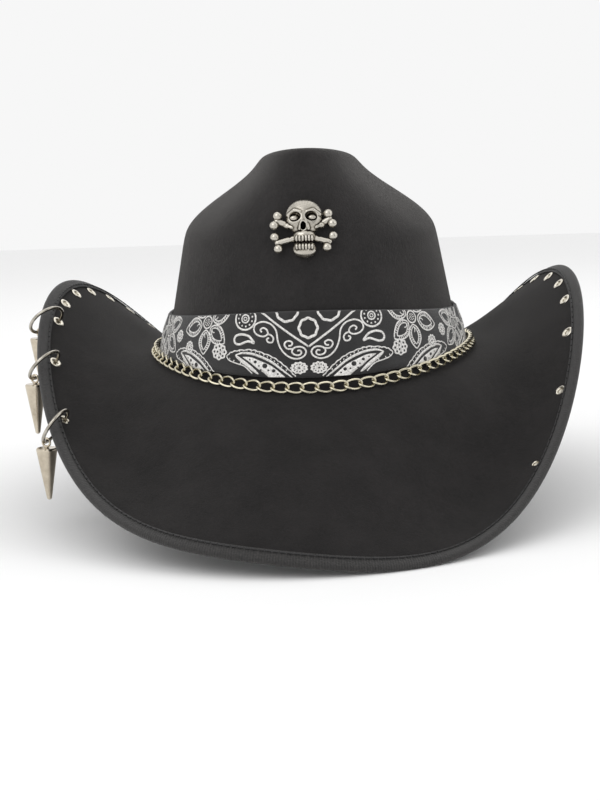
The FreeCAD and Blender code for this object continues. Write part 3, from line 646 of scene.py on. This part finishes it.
for drawing in (ink, dark):
    drawing.verts.index_update()
discharge, tree, shader = new_material("cotton, discharge-printed white")
place = add(tree, "ShaderNodeTexCoord").outputs["Object"]
speckle = add(tree, "ShaderNodeTexNoise", {"Vector": place, "Scale": per_mm(0.8), "Detail": 3.0})
finish_shader(tree, shader, ramp(tree, speckle.outputs["Fac"], [(0.3, "#b9b7b4"), (0.62, "#eeece9")]),
              None, speckle.outputs["Fac"], 0.00008)
shader.inputs["Roughness"].default_value = 0.9
printed = carry_round(ink, 0.14, "bandana_print", discharge)
reserved = carry_round(dark, 0.22, "bandana_print_reserves", cotton)
for piece in (printed, reserved):
    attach(piece, "hat")


# ---- Chain ----
# A curb chain of 84 oval links in round wire, each twisted out of its plane so that the links lie
# flat in a row. It is nickel plated over brass, aged dark in the hollows, and sits on the band.

LINK_WIRE_RADIUS = 0.7
LINK_TWIST = 0.95               # mm that the wire swings out of the link's own plane
ROUND_LINK, ROUND_WIRE = 28, 10


def solids_of(*names):
    """The corner points of each separate solid in these CAD nodes, as arrays in metres."""
    found = []
    for name in names:
        copy = bmesh.new()
        copy.from_mesh(nodes[name].data)
        bmesh.ops.remove_doubles(copy, verts=copy.verts, dist=1e-6)
        seen = set()
        for start in copy.verts:
            if start in seen:
                continue
            seen.add(start)
            waiting, members = [start], []
            while waiting:
                corner = waiting.pop()
                members.append(corner.co[:])
                for edge in corner.link_edges:
                    other = edge.other_vert(corner)
                    if other not in seen:
                        seen.add(other)
                        waiting.append(other)
            found.append(np.array(members))
        copy.free()
    return found


def lie_of(points):
    """A solid's middle, its axes from longest to shortest, and its length along each."""
    axes = np.linalg.svd(points - points.mean(0), full_matrices=False)[2]
    along = points @ axes.T
    low, high = along.min(0), along.max(0)
    order = np.argsort(low - high)
    middle = ((low + high) / 2) @ axes
    return Vector(middle), [Vector(axes[k]) for k in order], (high - low)[order]


def set_down(pattern, middle, x_axis, y_axis, z_axis):
    """A copy of a finished pattern with its own mesh, moved into place."""
    show_only(pattern)
    bpy.ops.object.duplicate(linked=False)
    copy = bpy.context.object
    turn = Matrix((x_axis, y_axis, z_axis)).transposed().to_4x4()
    copy.data.transform(Matrix.Translation(middle) @ turn)
    return copy


def join_all(made):
    bpy.ops.object.select_all(action="DESELECT")
    for each in made:
        each.select_set(True)
    bpy.context.view_layer.objects.active = made[0]
    bpy.ops.object.join()
    return bpy.context.object


def aged_plate(name, bright, worn, dark, roughness, tarnish=0.5, reach=0.06):
    """Plated metal: bright where rubbed, darker in the hollows and where the plate has clouded."""
    material, tree, shader = new_material(name)
    place = add(tree, "ShaderNodeTexCoord").outputs["Object"]
    cloud = add(tree, "ShaderNodeTexNoise",
                {"Vector": place, "Scale": per_mm(5), "Detail": 5.0, "Roughness": 0.6})
    pits = add(tree, "ShaderNodeTexNoise", {"Vector": place, "Scale": per_mm(0.9), "Detail": 3.0})
    hollow = add(tree, "ShaderNodeNewGeometry").outputs["Pointiness"]
    edge = add(tree, "ShaderNodeMapRange",
               {"Value": hollow, "From Min": 0.5 - reach, "From Max": 0.5 + reach})
    mix = blend_values(tree, cloud.outputs["Fac"], edge.outputs["Result"], tarnish)
    colour = ramp(tree, mix, [(0.22, dark), (0.42, worn), (0.6, bright)])
    rough = add(tree, "ShaderNodeMapRange",
                {"Value": cloud.outputs["Fac"], "From Min": 0.3, "From Max": 0.7,
                 "To Min": roughness * 1.5, "To Max": roughness})
    finish_shader(tree, shader, colour, rough.outputs["Result"], pits.outputs["Fac"], 0.00002)
    shader.inputs["Metallic"].default_value = 1.0
    return material


link_places = [lie_of(points) for points in solids_of("chain_links", "chain_closing_link")]
bpy.ops.object.select_all(action="DESELECT")
bpy.ops.mesh.primitive_torus_add(major_segments=ROUND_LINK, minor_segments=ROUND_WIRE,
                                 major_radius=0.01, minor_radius=0.001)
link = bpy.context.object
typical = np.median([lengths for _, _, lengths in link_places], axis=0) * 1000
half_long = typical[0] / 2 - LINK_WIRE_RADIUS
half_wide = typical[1] / 2 - LINK_WIRE_RADIUS
for i in range(ROUND_LINK):
    turn = 2 * math.pi * i / ROUND_LINK
    for j in range(ROUND_WIRE):
        round_wire = 2 * math.pi * j / ROUND_WIRE
        outward = LINK_WIRE_RADIUS * math.cos(round_wire)
        x = (half_long + outward) * math.cos(turn)
        y = (half_wide + outward) * math.sin(turn)
        z = LINK_WIRE_RADIUS * math.sin(round_wire) + LINK_TWIST * math.sin(2 * turn)
        link.data.vertices[i * ROUND_WIRE + j].co = Vector((x, y, z)) / 1000
chain_plate = aged_plate("nickel plate over brass, antiqued", "#cfc8b2", "#8d846f", "#1d1a16", 0.2)
named(link, "link", chain_plate)
links = []
for middle, (along, rise, face), _ in link_places:
    if rise.z < 0:
        rise = -rise
    outside = Vector((middle.x - SIDEWAYS / 1000, middle.y - FORWARD / 1000, 0))
    face = along.cross(rise)
    if face.dot(outside) < 0:
        along, face = -along, -face
    links.append(set_down(link, middle, along, rise, face))
bpy.data.objects.remove(link)
chain = named(join_all(links), "curb_chain", chain_plate)
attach(chain, "hat")
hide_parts("chain_links", "chain_closing_link")


# ---- Badge ----
# The badge is one casting of a generic skull over crossed bones, screwed through the crown.
# It is nickel plated white metal, polished on its high places and stained dark in its hollows.

BADGE_MIDDLE = Vector((SIDEWAYS - 0.8, FORWARD - 89.222, LIFT + 69.044))
BADGE_OUT = Vector((0.0, -0.96874, 0.24807))
BADGE_UP = Vector((0.0, 0.24807, 0.96874))


def lump(x, y, z, wide, tall, deep, lean=0.0):
    """An ellipsoid of the sculpture, in mm from where the bones cross: right, up and out."""
    bpy.ops.object.select_all(action="DESELECT")
    bpy.ops.mesh.primitive_uv_sphere_add(segments=32, ring_count=20, radius=1.0)
    made = bpy.context.object
    made.data.transform(Matrix.Translation((x, y, z)) @ Matrix.Rotation(lean, 4, "Z")
                        @ Matrix.Diagonal((wide, tall, deep, 1.0)))
    return made


def bar(start, end, radius):
    """A round bar with domed ends between two points of the sculpture."""
    start, end = Vector(start), Vector(end)
    bpy.ops.object.select_all(action="DESELECT")
    bpy.ops.mesh.primitive_cylinder_add(vertices=24, radius=radius, depth=(end - start).length)
    made = bpy.context.object
    turn = (end - start).to_track_quat("Z", "Y").to_matrix().to_4x4()
    made.data.transform(Matrix.Translation((start + end) / 2) @ turn)
    return join_all([made, lump(*start, radius, radius, radius), lump(*end, radius, radius, radius)])


def carve(body, tool, operation="DIFFERENCE"):
    cut = body.modifiers.new("cut", "BOOLEAN")
    cut.object, cut.operation, cut.solver = tool, operation, "EXACT"
    show_only(body)
    bpy.ops.object.modifier_apply(modifier="cut")
    bpy.data.objects.remove(tool)


def melt(body, grain):
    """Runs joined lumps together into one skin of this grain in mm."""
    skin = body.modifiers.new("skin", "REMESH")
    skin.mode, skin.voxel_size = "VOXEL", grain
    show_only(body)
    bpy.ops.object.modifier_apply(modifier="skin")


def soften(body, times):
    ease = body.modifiers.new("ease", "SMOOTH")
    ease.factor, ease.iterations = 0.5, times
    show_only(body)
    bpy.ops.object.modifier_apply(modifier="ease")


masses = [lump(0, 8.4, 1.2, 9.7, 9.4, 5.6), lump(0, 4.0, 1.2, 8.2, 5.0, 4.4),
          lump(0, -2.0, 1.4, 5.9, 4.6, 4.0), lump(0, -8.2, 1.2, 6.2, 4.9, 3.8)]
for side in (-1, 1):
    masses.append(lump(side * 8.4, 3.7, 1.8, 2.3, 1.7, 2.2))
    masses.append(bar((side * 6.4, 2.6, 3.6), (side * 8.8, 4.0, 2.6), 1.0))
    masses.append(bar((side * 1.9, 10.2, 6.0), (side * 4.9, 11.2, 5.7), 0.95))
    masses.append(bar((side * 4.9, 11.2, 5.7), (side * 8.3, 9.0, 4.0), 0.85))
    masses.append(bar((side * 0.9, 6.6, 6.1), (side * 2.4, 1.4, 5.3), 0.7))
for x, y in ((-13.6, 9.1), (-15.5, 4.2), (12.4, 9.8), (14.5, 4.5),
             (-15.3, -1.9), (-13.6, -8.1), (14.7, -1.9), (11.5, -7.8)):
    masses.append(lump(x, y, 1.9, 2.4, 2.4, 2.2))
for start, end in (((-14.0, 6.4, 1.8), (-8.0, 3.9, 1.6)), ((13.0, 6.8, 1.8), (8.0, 4.2, 1.6)),
                   ((-13.8, -4.9, 1.8), (-5.5, -2.8, 1.6)), ((12.6, -4.9, 1.8), (5.5, -2.8, 1.6))):
    masses.append(bar(start, end, 1.6))
skull = join_all(masses)
melt(skull, 0.3)
for x, y, lean in ((-5.0, 7.7, 0.2), (4.1, 7.9, -0.2)):
    carve(skull, lump(x, y, 6.3, 3.5, 2.5, 3.0, lean))
carve(skull, lump(-0.4, 3.0, 5.8, 1.4, 2.2, 2.4))
for side in (-1, 1):
    carve(skull, lump(side * 7.6, -0.4, 4.2, 1.7, 2.6, 2.4))
carve(skull, bar((-5.0, -5.4, 5.5), (5.0, -5.4, 5.5), 0.75))
teeth = []
for row, tall in ((-3.3, 1.8), (-7.6, 1.7)):
    for k in range(6):
        x = (k - 2.5) * 1.62
        teeth.append(lump(x, row, 4.9 - 0.04 * x * x, 0.74, tall, 0.95))
for eye_x, eye_y in ((-5.0, 7.5), (4.1, 7.7)):
    teeth.append(lump(eye_x, eye_y, 3.9, 2.2, 1.5, 1.2))
skull = join_all([skull] + teeth)
melt(skull, 0.26)
soften(skull, 3)
bpy.ops.object.select_all(action="DESELECT")
bpy.ops.mesh.primitive_cube_add(size=60.0, location=(0, 0, -30.0))
backing = bpy.context.object
bpy.ops.object.transform_apply(location=True, rotation=False, scale=False)
carve(skull, backing)
across = BADGE_UP.cross(BADGE_OUT)
frame_turn = Matrix((across, BADGE_UP, BADGE_OUT)).transposed().to_4x4()
skull.data.transform(Matrix.Scale(0.001, 4) @ Matrix.Translation(BADGE_MIDDLE + BADGE_OUT * 0.3)
                     @ frame_turn)
badge_plate = aged_plate("nickel plate over white metal, stained", "#c4bfb5", "#7d776c", "#070606",
                         0.2, 0.88, 0.03)
named(skull, "skull_and_bones", badge_plate)
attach(skull, "hat")
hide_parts("skull_badge")

screw_plate = aged_plate("zinc-plated steel", "#b9bbbd", "#8f9193", "#5b5d60", 0.34, 0.3)
dress("badge_screw", screw_plate)


# ---- Eyelets and washers ----
# Thirty two-part eyelets stand along the brim's edge: a rolled flange over a barrel from above, and
# a washer crimped on from below. They are nickel-plated brass with a bright rolled lip.

eyelet_plate = aged_plate("nickel-plated brass", "#dcd6c8", "#a9a292", "#4a453b", 0.2, 0.5)


BARREL_BORE = 1.62              # mm, radii of an eyelet's barrel
BARREL_OUTSIDE = 1.95


def turned_ring(profile, count=40):
    """A ring turned about +Z from a closed profile of (radius, height) pairs in mm."""
    bpy.ops.object.select_all(action="DESELECT")
    bpy.ops.mesh.primitive_torus_add(major_segments=count, minor_segments=len(profile),
                                     major_radius=0.01, minor_radius=0.001)
    made = bpy.context.object
    for i in range(count):
        turn = 2 * math.pi * i / count
        for j, (radius, height) in enumerate(profile):
            made.data.vertices[i * len(profile) + j].co = Vector(
                (radius * math.cos(turn), radius * math.sin(turn), height)) / 1000
    bpy.ops.object.mode_set(mode="EDIT")
    bpy.ops.mesh.select_all(action="SELECT")
    bpy.ops.mesh.normals_make_consistent(inside=False)
    bpy.ops.object.mode_set(mode="OBJECT")
    return made


for node_name, piece_name in (("eyelets_spiked_side", "eyelets_of_the_spiked_side"),
                              ("eyelets_plain_side", "eyelets_of_the_plain_side"),
                              ("ring_eyelets", "eyelets_of_the_rings"),
                              ("eyelet_washers", "crimped_washers")):
    copies = []
    for points in solids_of(node_name):
        middle, (_, _, axis), lengths = lie_of(points)
        if node_name != "eyelet_washers" and axis.z < 0:
            axis = -axis
        # an eyelet is shortest along its own axis, square to its round flange
        wide, deep = lengths[0] * 500, lengths[2] * 500
        sideways = axis.orthogonal().normalized()
        if node_name == "eyelet_washers":
            lip = deep * 0.9
            profile = [(1.98, -lip), (3.5, -lip), (wide, 0.0), (3.5, lip), (1.98, lip), (1.98, 0.0)]
        else:
            profile = [(BARREL_BORE, -deep), (BARREL_OUTSIDE, -deep), (BARREL_OUTSIDE, deep - 0.9),
                       (3.0, deep - 0.75), (wide, deep - 0.55), (wide * 0.98, deep - 0.2),
                       (2.9, deep), (2.1, deep - 0.05), (1.7, deep - 0.35),
                       (BARREL_BORE, deep - 0.8)]
        pattern = named(turned_ring(profile), "eyelet", eyelet_plate)
        copies.append(set_down(pattern, middle, sideways, axis.cross(sideways), axis))
        bpy.data.objects.remove(pattern)
    piece = named(join_all(copies), piece_name, eyelet_plate)
    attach(piece, "hat")
    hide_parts(node_name)


# ---- Rings and spikes ----
# Each charm is a closed ring through its eyelet, with a cast cone hung from it by a wire eye. The
# rings are polished nickel plate; the cones are cast zinc, nickel plated warmer and a little duller.

ring_plate = aged_plate("polished nickel plate", "#bdb8ae", "#938d82", "#4a463f", 0.14, 0.25)
cone_plate = aged_plate("nickel plate over cast zinc", "#cfc5b3", "#bdb2a0", "#8d8270", 0.16, 0.3)
for number in (1, 2, 3):
    dress("ring_%d" % number, ring_plate)
    dress("spike_%d" % number, cone_plate)
    dress("spike_eye_%d" % number, cone_plate)


# ---- Floor, light and camera ----
# A flat white paper floor, large soft lamps, and a camera in front, a little under the crown's top.

bpy.ops.object.select_all(action="DESELECT")
bpy.ops.mesh.primitive_plane_add(size=6.0)
floor = bpy.context.object
floor.name = floor.data.name = "paper_floor"
paper, tree, shader = new_material("matt white paper")
shader.inputs["Base Color"].default_value = hex_colour("#f4f4f4")
shader.inputs["Roughness"].default_value = 0.95
floor.data.materials.append(paper)
floor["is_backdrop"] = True

for name, place, aim, size, power in (
        ("key", (-0.7, -1.0, 1.1), (0, 0, 0.08), 1.0, 4.5),
        ("fill", (1.4, -0.4, 0.8), (0, 0, 0.08), 1.1, 2.2),
        ("back", (0.1, 1.1, 1.2), (0, 0, 0.1), 1.0, 2.0),
        ("overhead", (0.0, 0.0, 1.6), (0, 0, 0), 1.6, 2.6)):
    bpy.ops.object.light_add(type="AREA", location=place)
    lamp = bpy.context.object
    lamp.name = name
    lamp.data.size = size
    lamp.data.energy = power
    lamp.rotation_euler = (Vector(aim) - Vector(place)).to_track_quat("-Z", "Y").to_euler()
    lamp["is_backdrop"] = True

# A black card beside the camera gives the polished metal something dark to reflect.
bpy.ops.mesh.primitive_plane_add(size=1.0)
card = bpy.context.object
card.name = card.data.name = "black_card"
card.data.transform(Matrix.Translation((0.95, -1.15, 0.45))
                    @ Vector((0.95, -1.15, 0.0)).to_track_quat("Z", "Y").to_matrix().to_4x4()
                    @ Matrix.Diagonal((0.36, 1.8, 1.0, 1.0)))
black_card, tree, shader = new_material("matt black card")
shader.inputs["Base Color"].default_value = hex_colour("#0a0a0a")
shader.inputs["Roughness"].default_value = 0.9
card.data.materials.append(black_card)
card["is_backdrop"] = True

world = bpy.data.worlds.new("studio")
world.use_nodes = True
world.node_tree.nodes["Background"].inputs["Color"].default_value = hex_colour("#f7f7f7")
world.node_tree.nodes["Background"].inputs["Strength"].default_value = 1.0
bpy.context.scene.world = world
bpy.context.scene.view_settings.view_transform = "Standard"

bpy.ops.object.camera_add()
camera = bpy.context.object
# Both points are in mm from the crown's middle at the break, and the camera leans by its roll.
CAMERA_STAND = (21.6, -874.6, 102.7)
CAMERA_AIM = (-8.9, -0.3, -31.2)
CAMERA_ROLL = -1.8              # degrees
crown_middle = Vector((SIDEWAYS, FORWARD, LIFT))
stand = (Vector(CAMERA_STAND) + crown_middle) / 1000
aim = (Vector(CAMERA_AIM) + crown_middle) / 1000
camera.location = stand
camera.rotation_mode = "QUATERNION"
camera.rotation_quaternion = ((aim - stand).to_track_quat("-Z", "Y")
                              @ Matrix.Rotation(math.radians(CAMERA_ROLL), 3, "Z").to_quaternion())
camera.data.lens = 68.2
camera.data.sensor_width = 36.0
bpy.context.scene.camera = camera
camera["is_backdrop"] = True

low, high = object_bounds()
